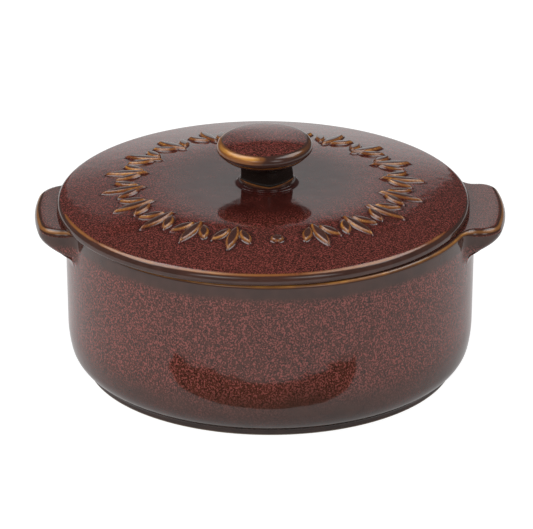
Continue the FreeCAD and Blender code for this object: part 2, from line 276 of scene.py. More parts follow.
@dataclass(frozen=True)
class Lug:
    """One lug handle in plan and in section, measured from the dish's axis."""

    reach: float
    front_half: float
    back_half: float
    tip: float
    root: float
    front_corner: float
    back_corner: float
    hollow: float = 6.5
    edge: float = 1.5
    soft: float = 1.1
    nose: float = 2.3
    fairing: float = 3.2

    def quarter(self, rim: float, back: bool, count: int) -> tuple[Array, Array]:
        """Half a lug's outline with the rim beside it, from the tip's middle to a quarter turn away.

        Four arcs run into each other: the tip about the dish's axis, the corner, the hollow that bends the
        other way, and the rim. The angle between the two small arcs' centres follows from the three sides of
        the triangle that they make with the axis.

        Args:
            rim: Radius of the rim.
            back: Whether it is the half that lies to the back.
            count: Points on each arc.

        Returns:
            Points and outward unit normals, each as an array of 4 times count by 2.
        """
        half, corner = (self.back_half, self.back_corner) if back else (self.front_half, self.front_corner)
        tip = rim + self.reach
        close, far, gap = tip - corner, rim + self.hollow, corner + self.hollow
        corner_turn = math.asin((half - corner) / close)
        hollow_turn = corner_turn + math.acos((close ** 2 + far ** 2 - gap ** 2) / (2 * close * far))
        centre = close * np.array([math.cos(corner_turn), math.sin(corner_turn)])
        bend = far * np.array([math.cos(hollow_turn), math.sin(hollow_turn)])
        meeting = math.atan2(*(bend - centre)[::-1])
        origin = np.zeros(2)
        arcs = [(origin, tip, 0.0, corner_turn, 1.0), (centre, corner, corner_turn, meeting, 1.0),
                (bend, self.hollow, meeting + math.pi, hollow_turn + math.pi, -1.0),
                (origin, rim, hollow_turn, math.pi / 2, 1.0)]
        points, normals = [], []
        for middle, radius, first, last, outward in arcs:
            angles = np.linspace(first, last, count)
            ray = np.stack([np.cos(angles), np.sin(angles)], axis=1)
            points.append(middle + radius * ray)
            normals.append(ray * outward)
        return np.concatenate(points), np.concatenate(normals)


@dataclass
class Dish:
    """The baking dish with its foot ring and two lugs."""

    rim: float = 72.4
    wall: float = 5.5
    floor: float = 6.0
    low: float = 72.0
    bow_start: float = 17.9
    bow_radius: float = 43.0
    corner_start: float = 9.3
    corner_radius: float = 9.9
    foot: float = 65.4
    foot_width: float = 5.0
    foot_height: float = 1.8
    foot_edge: float = 0.6
    foot_fillet: float = 0.8
    toe: float = 0.5
    hub: float = 6.0
    bore_lean: float = 0.4
    bore_corner: float = 8.5
    lip_round: float = 1.4
    flank_foot: float = 43.0
    root_bend: float = 3.4
    smooth_band: float = 5.6
    columns: int = 620
    right: Lug = Lug(
        10.9, front_half=22.2, back_half=23.8, tip=5.8, root=10.6, front_corner=8.0, back_corner=7.0)
    left: Lug = Lug(
        10.9, front_half=25.4, back_half=20.7, tip=6.7, root=11.6, front_corner=9.0, back_corner=12.0)

    def __post_init__(self) -> None:
        """Take the rim's height from the frame's dish."""
        self.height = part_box("dish")[1].z / MM

    def standing(self, radius: Array) -> Array:
        """Share of a lug in the outline, from how far it stands out from the rim."""
        return eased(radius - self.rim, 0.0, self.right.fairing)

    def rounding(self, radius: Array) -> Array:
        """Radius of the top edge, which is softer on the lugs."""
        return self.right.edge + self.right.soft * self.standing(radius)

    def outline(self) -> tuple[Array, Array, Array, Array]:
        """The plan outline at the rim, with columns evenly spaced along it.

        Returns:
            Points, outward normals, and the tip and root thickness of the lug at each column.
        """
        points, normals, sizes = [], [], []
        for lug, side_x, side_y in ((self.right, 1, 1), (self.left, -1, 1),
                                    (self.left, -1, -1), (self.right, 1, -1)):
            quarter, outward = lug.quarter(self.rim, side_y > 0, 240)
            mirror = np.array([side_x, side_y])
            order = slice(None) if side_x == side_y else slice(None, None, -1)
            points.append((quarter * mirror)[order])
            normals.append((outward * mirror)[order])
            sizes.append(np.tile([lug.tip, lug.root], (len(quarter), 1)))
        track, turn, size = (np.concatenate(part + [part[0][:1]]) for part in (points, normals, sizes))
        run = np.concatenate([[0.0], np.cumsum(np.hypot(*np.diff(track, axis=0).T))])
        places = np.linspace(0.0, run[-1], self.columns, endpoint=False)
        parts = (*track.T, *turn.T, *size.T)
        x, y, out_x, out_y, tip, root = (np.interp(places, run, part) for part in parts)
        normal = np.stack([out_x, out_y], axis=1)
        return np.stack([x, y], axis=1), normal / np.hypot(out_x, out_y)[:, None], tip, root

    def lower_profile(self) -> Array:
        """Underside, foot ring, base corner, bow and straight wall, up to where the lugs' flank starts."""
        inner = self.foot - self.foot_width
        lean = math.atan((self.rim - self.low) / (self.flank_foot - self.bow_start))
        sweep = math.asin((self.bow_start - self.corner_start) / self.bow_radius + math.sin(lean))
        bow_x = self.low - self.bow_radius * (math.cos(lean) - math.cos(sweep))
        middle = (bow_x - self.corner_radius * math.cos(sweep),
                  self.corner_start + self.corner_radius * math.sin(sweep))
        toe_x = self.foot + self.toe
        toe_z = middle[1] - math.sqrt(self.corner_radius ** 2 - (toe_x - middle[0]) ** 2)
        step, rise, fillet = self.foot_edge, self.foot_height, self.foot_fillet
        return (Path((self.hub, rise)).line((inner - fillet, rise), 6)
                .arc((inner, rise - fillet), fillet, Turn.RIGHT, 4)
                .jump((inner, step)).arc((inner + step, 0.0), step, Turn.LEFT, 4)
                .line((self.foot - step, 0.0), 3).arc((self.foot, step), step, Turn.LEFT, 4)
                .arc((toe_x, toe_z), 1.6, Turn.RIGHT, 5)
                .arc((bow_x, self.corner_start), self.corner_radius, Turn.LEFT, 16)
                .arc((self.low, self.bow_start), self.bow_radius, Turn.LEFT, 8)
                .line((self.rim, self.flank_foot), 9).whole())

    def inner_profile(self) -> Array:
        """Rounded lip, inner wall, rounded floor corner and floor, from the rim to the middle."""
        bore, top, bed = self.rim - self.wall, self.height, self.foot_height + self.floor
        foot, corner = bore - self.bore_lean, self.bore_corner
        return (Path((bore + self.lip_round, top))
                .arc((bore, top - self.lip_round), self.lip_round, Turn.LEFT, 7)
                .line((foot, bed + corner), 8).arc((foot - corner, bed), corner, Turn.RIGHT, 9)
                .line((self.hub - 1.0, bed), 7).whole())

    def flank(self) -> tuple[Array, Array]:
        """The band from the wall out under the lugs, round their edges and up to the top face.

        At each column a lug's section goes up the wall, through a hollow root, out along the sloping
        underside, round the nose and up the side. Away from the lugs the same rings are spread up the plain
        wall, and the two are mixed by a smooth step of how far the outline stands out from the rim.

        Returns:
            Points as rings by columns by 3, and their distance from the top edge along each column.
        """
        edge, normal, tip, root = self.outline()
        radius = np.hypot(*edge.T)
        ray = edge / radius[:, None]
        lug = self.right
        share = self.standing(radius)
        slope = (root - tip) / (lug.reach - lug.nose)
        base = self.height - root
        bend = np.minimum(self.root_bend, 0.55 * np.maximum(radius - self.rim, 0.0))

        def under(far: Array) -> Array:
            """Height of the sloping underside at a distance from the axis."""
            return base + slope * (far - self.rim)

        rise = np.linspace(0.0, 1.0, 5)[:-1, None]
        wall_r = np.full((4, self.columns), self.rim)
        wall_z = self.flank_foot + (base - bend - self.flank_foot) * rise
        step = np.linspace(0.0, 1.0, 7)[:-1, None]
        root_r = self.rim + bend * step ** 2
        root_z = base - bend * (1 - step) ** 2 + slope * bend * step ** 2
        tuck = np.linspace(0.0, math.pi / 2, 8)[:-1, None]
        inset = lug.nose * (1 - np.sin(tuck)) * np.ones(self.columns)
        nose_xy = edge - normal * (inset * share)[..., None]
        nose_r = np.hypot(nose_xy[..., 0], nose_xy[..., 1])
        nose_z = under(nose_r) + lug.nose * (1 - np.cos(tuck))
        start = nose_xy[0]
        out = np.linspace(0.0, 1.0, 11)[:-1, None, None]
        under_xy = (ray * (self.rim + bend)[:, None]) * (1 - out) + start * out
        under_r = np.hypot(under_xy[..., 0], under_xy[..., 1])
        size = self.rounding(radius)
        top = self.height - size
        side = np.linspace(0.0, 1.0, 9)[:, None]
        side_z = (under(radius) + lug.nose) * (1 - side) + top * side
        whole = np.ones(self.columns)
        lug_xy = np.concatenate([wall_r[..., None] * ray, root_r[..., None] * ray, under_xy,
                                 nose_xy, np.broadcast_to(edge, (len(side), self.columns, 2))])
        lug_z = np.concatenate([wall_z * whole, root_z * whole, under(under_r), nose_z, side_z])
        count = len(lug_z)
        plain_z = self.flank_foot + (top - self.flank_foot) * np.linspace(0.0, 1.0, count)[:, None]
        plain_xy = np.broadcast_to((ray * self.rim)[None], lug_xy.shape)
        out_xy = np.broadcast_to(edge, lug_xy.shape)
        beyond = np.hypot(lug_xy[..., 0], lug_xy[..., 1]) >= self.rim
        lug_xy = np.where(beyond[..., None], lug_xy, plain_xy)
        reach = np.concatenate([np.zeros(10), out[:, 0, 0], np.ones(16)])
        faired = plain_xy * (1 - reach[:, None, None]) + out_xy * reach[:, None, None]
        xy = faired * (1 - share[..., None]) + lug_xy * share[..., None]
        z = plain_z * (1 - share) + lug_z * share
        points = np.concatenate([xy, z[..., None]], axis=-1)
        return points, run_along(points[::-1])[::-1] + size * math.pi / 4

    def top(self) -> tuple[Array, Array]:
        """The rounded top edge and the flat top face, in to the lip.

        The rounding is a quarter circle set back along the outline's normals, and the face runs straight in
        plan from there to the lip's circle.

        Returns:
            Points as rings by columns by 3, and their distance from the middle of the rounding.
        """
        edge, normal, _, _ = self.outline()
        radius = np.hypot(*edge.T)
        size = self.rounding(radius)
        turn = np.linspace(0.0, math.pi / 2, 8)[1:, None]
        back = size * (1 - np.cos(turn))
        round_xy = edge - normal * back[..., None]
        round_z = self.height - size * (1 - np.sin(turn))
        inner = edge / radius[:, None] * (self.rim - self.wall + self.lip_round)
        share = np.linspace(0.0, 1.0, 10)[1:-1, None, None]
        flat_xy = round_xy[-1] * (1 - share) + inner * share
        flat_z = np.full(flat_xy.shape[:2], self.height)
        points = np.concatenate([np.concatenate([round_xy, flat_xy]),
                                 np.concatenate([round_z, flat_z])[..., None]], axis=-1)
        return points, np.abs(run_along(points) - size * math.pi * 3 / 16)

    def build(self, glaze: "Glaze") -> bpy.types.Object:
        """Join all stretches into one closed surface, with the fields that the glaze reads.

        Args:
            glaze: Finish of the dish.

        Returns:
            The dish as an object.
        """
        edge, *_ = self.outline()
        angles = np.arctan2(edge[:, 1], edge[:, 0])
        lower, inner = self.lower_profile()[:-1], self.inner_profile()
        flank, flank_gap = self.flank()
        top, top_gap = self.top()
        skin = Skin()
        skin.pole(self.foot_height)
        far, height = lower[:, :1], lower[:, 1:]
        skin.rings(turned(lower, angles), {
            Field.BARE: 1.0 * ((height < 0.45) & (far > self.foot - self.foot_width - 1)),
            Field.SMOOTH: np.maximum(1 - eased(height, 2.0, 9.0), 0.5 * (1 - eased(height, 10.0, 25.0))),
            # The base gets darker towards the foot: painted shade.
            Field.POOL_AND_SHADE: 0.6 * (1 - eased(height, 3.0, 12.0))})
        band = 1 - eased(flank_gap, 0.3 * self.smooth_band, 1.5 * self.smooth_band)
        skin.rings(flank, {Field.EDGE: flank_gap, Field.SMOOTH: band})
        skin.rings(top, {Field.EDGE: top_gap, Field.SMOOTH: 0.9 - 1.2 * eased(top_gap, 0.6, 2.4)})
        skin.rings(turned(inner, angles), {Field.EDGE: 0.9 * np.abs(np.arange(len(inner)) - 2.0)[:, None]})
        skin.pole(self.foot_height + self.floor)
        return skin.piece("dish_stoneware", glaze.material("dish_glaze"))


@dataclass(frozen=True)
class Sprigs:
    """The ring of raised three-leaf sprigs and two dots on the lid."""

    radius: float = 49.5
    height: float = 1.12
    length: float = 15.6
    width: float = 3.6
    side_length: float = 9.4
    side_width: float = 3.3
    side_angle: float = 31.0
    side_start: float = 2.3
    side_gap: float = 1.9
    dot: float = 4.4
    slots: int = 20
    soft: float = 0.62

    @staticmethod
    def leaf(x: Array, y: Array, length: float, width: float) -> Array:
        """Distance outside a pointed leaf that lies along x about the origin, negative inside it.

        The leaf is what two equal discs share, so the distance is that from the farther disc's centre less
        its radius, which is length squared over four widths, plus a quarter of the width.
        """
        radius = length ** 2 / (4 * width) + width / 4
        return np.hypot(x, np.abs(y) + radius - width / 2) - radius

    def gap(self, far: Array, angle: Array) -> Array:
        """Distance outside the nearest leaf or dot, negative inside it.

        The angle is folded into one slot, and the slot's lower half onto its upper half.

        Args:
            far: Distance from the lid's axis.
            angle: Angle round the lid, in its own frame.

        Returns:
            Distances in the shape of the arguments.
        """
        pitch = 2 * math.pi / self.slots
        slot = np.round(angle / pitch)
        local = angle - slot * pitch
        x, y = far * np.cos(local) - self.radius, np.abs(far * np.sin(local))
        turn = math.radians(self.side_angle)
        middle = self.leaf(x, y, self.length, self.width)
        side_x, side_y = x + self.length / 2 - self.side_start, y - self.side_gap
        along = side_x * math.cos(turn) + side_y * math.sin(turn) - self.side_length / 2
        across = side_y * math.cos(turn) - side_x * math.sin(turn)
        side = self.leaf(along, across, self.side_length, self.side_width)
        dots = np.hypot(x, y) - self.dot / 2
        has_dot = slot % (self.slots / 2) == self.slots / 4
        return np.where(has_dot, dots, np.minimum(middle, side))

    def rise(self, gap: Array) -> Array:
        """Height over the dome: a soft flank from just outside the outline, and a slightly domed top."""
        flank = eased(-gap, -0.5, self.soft)
        return self.height * (0.94 * flank + 0.06 * eased(-gap, 0.4, 1.8))


@dataclass
class Lid:
    """The domed lid with its locating ring, raised sprigs and mushroom knob."""

    edge: float = 4.0
    edge_round: float = 1.15
    roll: float = 2.3
    roll_radius: float = 2.9
    rise: float = 7.0
    dip: float = 1.9
    ring_outer: float = 64.1
    ring_inner: float = 60.1
    ring_depth: float = 5.0
    ring_round: float = 1.2
    seat_fillet: float = 0.8
    shell: float = 5.0
    seat_gap: float = 0.06
    turn: float = 6.5
    collar: float = 10.5
    collar_height: float = 1.15
    collar_step: float = 0.14
    neck: float = 9.5
    neck_face: float = 21.0
    neck_aside: float = 1.35
    cap: float = 16.95
    cap_under: float = 9.9
    cap_bottom: float = 76.9
    cap_aside: float = 0.5
    lip: float = 15.6
    lip_z: float = 80.0
    widest_z: float = 82.05
    shoulder: float = 14.95
    shoulder_z: float = 84.5
    shoulder_radius: float = 2.42
    flatter: float = 0.85
    lean: Pair = (0.015, 0.03)
    band_outer: float = 58.8
    band_inner: float = 40.2
    band_rings: int = 62
    columns: int = 288
    fine: int = 3
    sprigs: Sprigs = Sprigs()

    def __post_init__(self) -> None:
        """Take the lid's place, width and height from the frame's lid, and the seat from the dish."""
        low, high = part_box("lid")
        self.radius = (high.x - low.x) / 2 / MM
        self.centre = ((high.x + low.x) / 2 / MM, (high.y + low.y) / 2 / MM)
        self.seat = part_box("dish")[1].z / MM + self.seat_gap
        self.top = high.z / MM - self.flatter
        self.edge_top = self.seat + self.edge
        reach = self.radius - 1.8
        self.dome = (reach ** 2 + self.rise ** 2) / (2 * self.rise)
        self.foot = self.dome_z(0.0) + self.collar_height

    def dome_z(self, far: Array | float) -> Array:
        """Height of the dome: a sphere's cap through the lid's edge, less a shallow dip about the knob."""
        dip = self.dip * (1 - eased(np.asarray(far, float), 8.0, 46.0))
        return self.edge_top + self.rise - self.dome + np.sqrt(self.dome ** 2 - np.square(far)) - dip

    def dome_section(self, far: Array, down: float = 0.0) -> Array:
        """Radius and height of points on the dome, or so far down below it."""
        return np.stack([far, self.dome_z(far) - down], axis=1)

    def angles(self, count: int) -> Array:
        """Evenly spaced angles round the lid, in its own frame."""
        return np.linspace(0.0, 2 * math.pi, count, endpoint=False)

    def facing(self) -> Array:
        """Angle of each column from the front, positive to the right."""
        angles = self.angles(self.columns) + math.radians(self.turn + 90)
        return np.mod(angles + math.pi, 2 * math.pi) - math.pi

    def placed(self, profile: Array, count: int, spread: Array | float = 1.0) -> Array:
        """Turn a profile about the lid's own axis and set it in its place on the dish.

        Args:
            profile: Radius and height of each ring.
            count: Number of columns.
            spread: Factor on the radius, one number or rings by columns.

        Returns:
            Array of rings by columns by 3.
        """
        points = turned(profile, self.angles(count) + math.radians(self.turn))
        points[..., :2] *= np.asarray(spread)[..., None]
        points[..., :2] += self.centre
        return points

    def under_profile(self) -> Array:
        """Underside, locating ring, seat, rounded edge and the dome's plain border."""
        under, foot = self.dome_z(self.ring_inner) - self.shell, self.seat - self.ring_depth
        inner, outer, edge, fillet = self.ring_inner, self.ring_outer, self.ring_round, self.seat_fillet
        roll = self.radius - self.roll
        return (Path(*self.dome_section(np.linspace(5.0, inner - 1.5, 8), self.shell))
                .arc((inner, under - edge), 1.6, Turn.RIGHT, 4)
                .line((inner, foot + edge), 3).arc((inner + edge, foot), edge, Turn.LEFT, 4)
                .line((outer - edge, foot), 2).arc((outer, foot + edge), edge, Turn.LEFT, 4)
                .line((outer, self.seat - fillet), 3).arc((outer + fillet, self.seat), fillet, Turn.RIGHT, 4)
                .line((self.radius - self.edge_round, self.seat), 3)
                .arc((self.radius, self.seat + self.edge_round), self.edge_round, Turn.LEFT, 9)
                .arc((roll, float(self.dome_z(roll))), self.roll_radius, Turn.LEFT, 12)
                .through(self.dome_section(np.linspace(roll, self.band_outer, 14)[2:])).whole())

    def band(self) -> tuple[Array, Array]:
        """The dome's middle band with the sprigs, finer in both directions than the rest.

        Returns:
            Points as rings by columns by 3, and the distance outside the nearest leaf.
        """
        far = np.linspace(self.band_outer, self.band_inner, self.band_rings)[1:]
        count = self.columns * self.fine
        gap = self.sprigs.gap(far[:, None], self.angles(count)[None, :])
        points = self.placed(self.dome_section(far), count)
        lift = self.sprigs.rise(gap)
        lean = far[:, None] / self.dome
        out = (points[..., :2] - self.centre) / far[:, None, None]
        points[..., :2] += out * (lift * lean)[..., None]
        points[..., 2] += lift * np.sqrt(1 - lean ** 2)
        return points, gap

    def neck_spread(self, profile: Array) -> Array:
        """Factor that turns the round rings of the neck into four swelling faces.

        A face is part of a circle whose centre lies beyond the axis on the face's own diagonal. The ray's
        distance to it is its share along that diagonal plus the root of what is left. The arrises are
        softened by a mean over a few degrees, and the shape fades out above and below the neck.

        Args:
            profile: Radius and height of the knob's rings.

        Returns:
            Factors as rings by columns.
        """
        back = math.sqrt(self.neck_face ** 2 - self.neck ** 2 / 2) - self.neck / math.sqrt(2)
        angles = self.angles(self.columns)
        local = np.mod(angles, math.pi / 2) - math.pi / 4
        along = -back * np.cos(local)
        reach = along + np.sqrt(along ** 2 - back ** 2 + self.neck_face ** 2)
        for shift in (1, 2):
            reach = (reach * 2 + np.roll(reach, shift) + np.roll(reach, -shift)) / 4
        far, height = profile.T
        share = eased(height, self.foot, self.foot + self.collar_step)
        share = share * (1 - eased(height, self.cap_bottom - 1.4, self.cap_bottom)) * (far < self.collar)
        return 1 + share[:, None] * (reach / self.neck - 1)

    def knob_profile(self) -> Array:
        """Inner dome, collar, neck and mushroom cap, up to near the middle of its crown."""
        dome = self.dome_section(np.linspace(self.band_inner, self.collar + 1.2, 22)[1:])
        foot, neck, wall = self.foot, self.neck, dome[-1, 1] + 0.45
        crown_rise = self.top - self.shoulder_z
        crown = (self.shoulder ** 2 + crown_rise ** 2) / (2 * crown_rise)
        return (Path(*dome)
                .arc((self.collar, wall), 1.3, Turn.RIGHT, 4)
                .arc((self.collar - 0.5, foot - 0.05), 0.6, Turn.LEFT, 7)
                .line((neck + 0.02, foot), 3).line((neck, foot + self.collar_step), 8)
                .arc((neck - 0.1, foot + 0.9), 0.9, Turn.LEFT, 5)
                .line((neck - 0.35, self.cap_bottom - 1.3), 7)
                .arc((self.cap_under + 0.6, self.cap_bottom), 2.2, Turn.RIGHT, 6)
                .arc((self.lip, self.lip_z), 12.0, Turn.LEFT, 9)
                .arc((self.lip + 0.5, self.lip_z + 0.55), 0.7, Turn.RIGHT, 3)
                .arc((self.cap, self.widest_z), 1.7, Turn.LEFT, 6)
                .arc((self.shoulder, self.shoulder_z), self.shoulder_radius, Turn.LEFT, 12)
                .arc((0.0, self.top), crown, Turn.LEFT, 22).whole()[:-1])

    def knob_rings(self, knob: Array) -> Array:
        """Set the knob's rings in place, a little aside of the axis, with the cap leaning.

        The cap's height changes by the lean times the distance from the axis. The shift aside goes over from
        the neck's to the cap's with a smooth step, and fades out on the dome.

        Args:
            knob: Radius and height of each ring.

        Returns:
            Array of rings by columns by 3.
        """
        far, height = knob.T
        rings = self.placed(knob, self.columns, self.neck_spread(knob))
        cap = eased(height, self.cap_bottom - 2.0, self.lip_z)[:, None]
        rings[..., 2] += cap * ((rings[..., :2] - self.centre) @ np.array(self.lean))
        rise = eased(height, self.foot + 1.5, self.lip_z)
        aside = self.neck_aside * (1 - rise) + self.cap_aside * rise
        rings[..., 0] += np.where(height < self.foot, aside * (1 - eased(far, 12.0, 38.0)), aside)[:, None]
        return rings

    def knob_fields(self, knob: Array) -> dict[Field, Array]:
        """Where the knob's glaze thins, runs smooth or pools.

        It thins along the cap's lip, along the neck's foot and on the cap's roll, where the amber is left out
        at the front just right of the middle, on the right and behind, following where the side lamps'
        highlights fall: partly thin glaze, partly painted highlight. It pools about the collar, and is
        darkened as painted shade on the neck under the cap and on the dome round the knob.

        Args:
            knob: Radius and height of each ring.

        Returns:
            Fields as rings by columns, or by one where they are the same all round.
        """
        far, height = knob.T
        angles, on_dome = self.facing(), height < self.foot
        lines = np.minimum(near(knob, (self.lip + 0.1, self.lip_z + 0.25)) * 1.6,
                           near(knob, (self.neck - 0.05, self.foot + 0.25)) * 3.4)
        roll = np.maximum(np.abs(far - self.cap + 0.95) - 0.4, 0.0) * 0.65 + 0.05
        roll = np.where(height > self.widest_z - 0.2, roll, FAR)
        # Amber on the roll left out at the front just right of the middle, on the right and behind, where the
        # side lamps leave no highlight: partly thin glaze, partly painted highlight.
        thick = np.exp(-((angles - 0.19) / 0.2) ** 2) + 0.24 * eased(angles, 0.1, 0.5)
        thick = thick + 0.3 * eased(np.abs(angles + 0.6), 0.5, 1.1)
        cap = eased(height, self.cap_bottom, self.cap_bottom + 0.5)
        belly = cap * (1 - eased(height, self.lip_z, self.widest_z))
        shoulder = eased(far, self.cap - 3.0, self.cap - 1.5) * (height > self.lip_z)
        collar = eased(far, self.collar + 0.3, self.collar - 0.4) * (height < self.foot + 0.4)
        # Painted shade: near-black on the neck under the cap.
        neck = 2 * eased(height, self.foot, self.foot + 0.6) * (1 - cap) * (far < self.collar)
        moat = np.exp(-((far - self.collar - 0.4) / 1.5) ** 2) * on_dome
        # Painted shade: the dome darker round the knob, where the knob shades it.
        painted_shade_round_knob = 0.85 * (1 - eased(far, 24.0, 44.0)) * on_dome
        return {Field.EDGE: np.minimum(lines[:, None], roll[:, None] + thick),
                Field.SMOOTH: np.maximum.reduce([belly, shoulder, collar])[:, None],
                Field.POOL_AND_SHADE: np.maximum.reduce([neck, moat, painted_shade_round_knob])[:, None]}

    def under_fields(self, under: Array) -> dict[Field, Array]:
        """Where the glaze thins along the edge, less so at the sides and behind, and runs smooth below."""
        outside = under[:, :1] > self.ring_outer + 1
        worn = 2.0 * eased(np.abs(self.facing() + 0.1), 1.1, 1.5) * outside
        gap = near(under, (self.radius - 1.3, self.edge_top - 0.12))[:, None]
        return {Field.EDGE: gap * 0.95 + worn,
                Field.SMOOTH: (1 - eased(under[:, 1:], self.edge_top - 0.9, self.edge_top - 0.2)) * outside}

    def build(self, glaze: "Glaze") -> bpy.types.Object:
        """Join underside, band and knob into one closed surface, with the fields that the glaze reads.

        Args:
            glaze: Finish of the lid.

        Returns:
            The lid as an object.
        """
        under, knob = self.under_profile(), self.knob_profile()
        skin = Skin()
        skin.pole(self.dome_z(0.0) - self.shell, self.centre)
        skin.rings(self.placed(under, self.columns), self.under_fields(under))
        band, gap = self.band()
        skin.rings(band, {Field.EDGE: np.abs(gap + 0.24) * 1.6, Field.SMOOTH: eased(-gap, 0.3, 0.8) * 0.6,
                          Field.POOL_AND_SHADE: 0.7 * eased(gap, -0.2, 0.3) * (1 - eased(gap, 0.6, 2.2))})
        skin.rings(self.knob_rings(knob), self.knob_fields(knob))
        skin.pole(self.top, (self.centre[0] + self.cap_aside, self.centre[1]))
        return skin.piece("lid_stoneware", glaze.material("lid_glaze"))


def linear(colour: Screen, shade: float = 1.0) -> tuple[float, ...]:
    """A screen colour from 0 to 255 as the linear colour that a shader takes, or a darker shade of it."""
    part = np.floor(np.array(colour) * shade) / 255
    return (*np.where(part <= 0.04045, part / 12.92, ((part + 0.055) / 1.055) ** 2.4).tolist(), 1.0)


class Nodes:
    """A node tree, with short ways to add and join what a finish or a light needs."""

    def __init__(self, owner: Material | bpy.types.World) -> None:
        """Start with the owner's tree emptied."""
        owner.use_nodes = True
        self.owner = owner
        self.tree = owner.node_tree
        self.tree.nodes.clear()

    def add(self, kind: str, inputs: dict[int | str, object] | None = None, **settings: object) -> Node:
        """Add a node.

        Args:
            kind: Its type, without the words that all shader nodes start with.
            inputs: For inputs by number or name, a plain value or a socket to join.
            **settings: Its properties, such as operation="ADD".

        Returns:
            The node.
        """
        node = self.tree.nodes.new(f"ShaderNode{kind}")
        for name, value in settings.items():
            setattr(node, name, value)
        for key, source in (inputs or {}).items():
            if isinstance(source, Socket):
                self.tree.links.new(source, node.inputs[key])
            else:
                node.inputs[key].default_value = source
        return node

    def maths(self, operation: str, *values: object) -> Socket:
        """Work out one number from one to three others."""
        return self.add("Math", dict(enumerate(values)), operation=operation).outputs[0]

    def off(self, value: Socket, middle: float) -> Socket:
        """How far a number lies from a middle."""
        return self.maths("ABSOLUTE", self.maths("SUBTRACT", value, middle))

    def moved(self, operation: str, place: Socket, by: tuple[float, ...]) -> Socket:
        """Add to a place, or multiply it."""
        return self.add("VectorMath", {0: place, 1: by}, operation=operation).outputs[0]

    def ramp(self, value: object, low: float, high: float, start: float = 0.0, end: float = 1.0) -> Socket:
        """Carry a number smoothly from the range low to high over to the range start to end."""
        inputs = dict(enumerate((value, low, high, start, end)))
        return self.add("MapRange", inputs, interpolation_type="SMOOTHSTEP").outputs[0]

    def mix(self, share: object, first: object, second: object) -> Socket:
        """Mix two colours by a share."""
        return self.add("Mix", {"Factor": share, 6: first, 7: second}, data_type="RGBA").outputs[2]

    def noise(self, place: Socket, size: float, detail: float = 3.0, rough: float = 0.55) -> Socket:
        """Soft noise whose features are about size millimetres across."""
        inputs = {"Vector": place, "Scale": 1 / (size * MM), "Detail": detail, "Roughness": rough}
        return self.add("TexNoise", inputs).outputs["Fac"]

    def field(self, field: Field) -> Socket:
        """Read one of the surface fields."""
        return self.add("Attribute", attribute_name=field.value).outputs["Fac"]

    def place(self) -> Socket:
        """Object coordinates."""
        return self.add("TexCoord").outputs["Object"]

    def axes(self) -> bpy.types.bpy_prop_collection:
        """The three object coordinates apart."""
        return self.add("SeparateXYZ", {0: self.place()}).outputs

    def glow(self, strength: object, colour: Triple = (1.0, 1.0, 1.0)) -> Node:
        """Light of its own in one colour."""
        return self.add("Emission", {"Strength": strength, "Color": (*colour, 1.0)})

    def matt(self, level: float) -> Node:
        """A matt grey surface."""
        return self.add("BsdfDiffuse", {"Color": (level, level, level, 1.0)})

    def blend(self, share: object, first: Node, second: Node) -> Node:
        """Mix two shaders by a share."""
        return self.add("MixShader", {0: share, 1: first.outputs[0], 2: second.outputs[0]})

    def finish(self, shader: Node, kind: str = "Material") -> Material | bpy.types.World:
        """Join a shader to the output, and give back the tree's owner."""
        self.add(f"Output{kind}", {"Surface": shader.outputs[0]})
        return self.owner


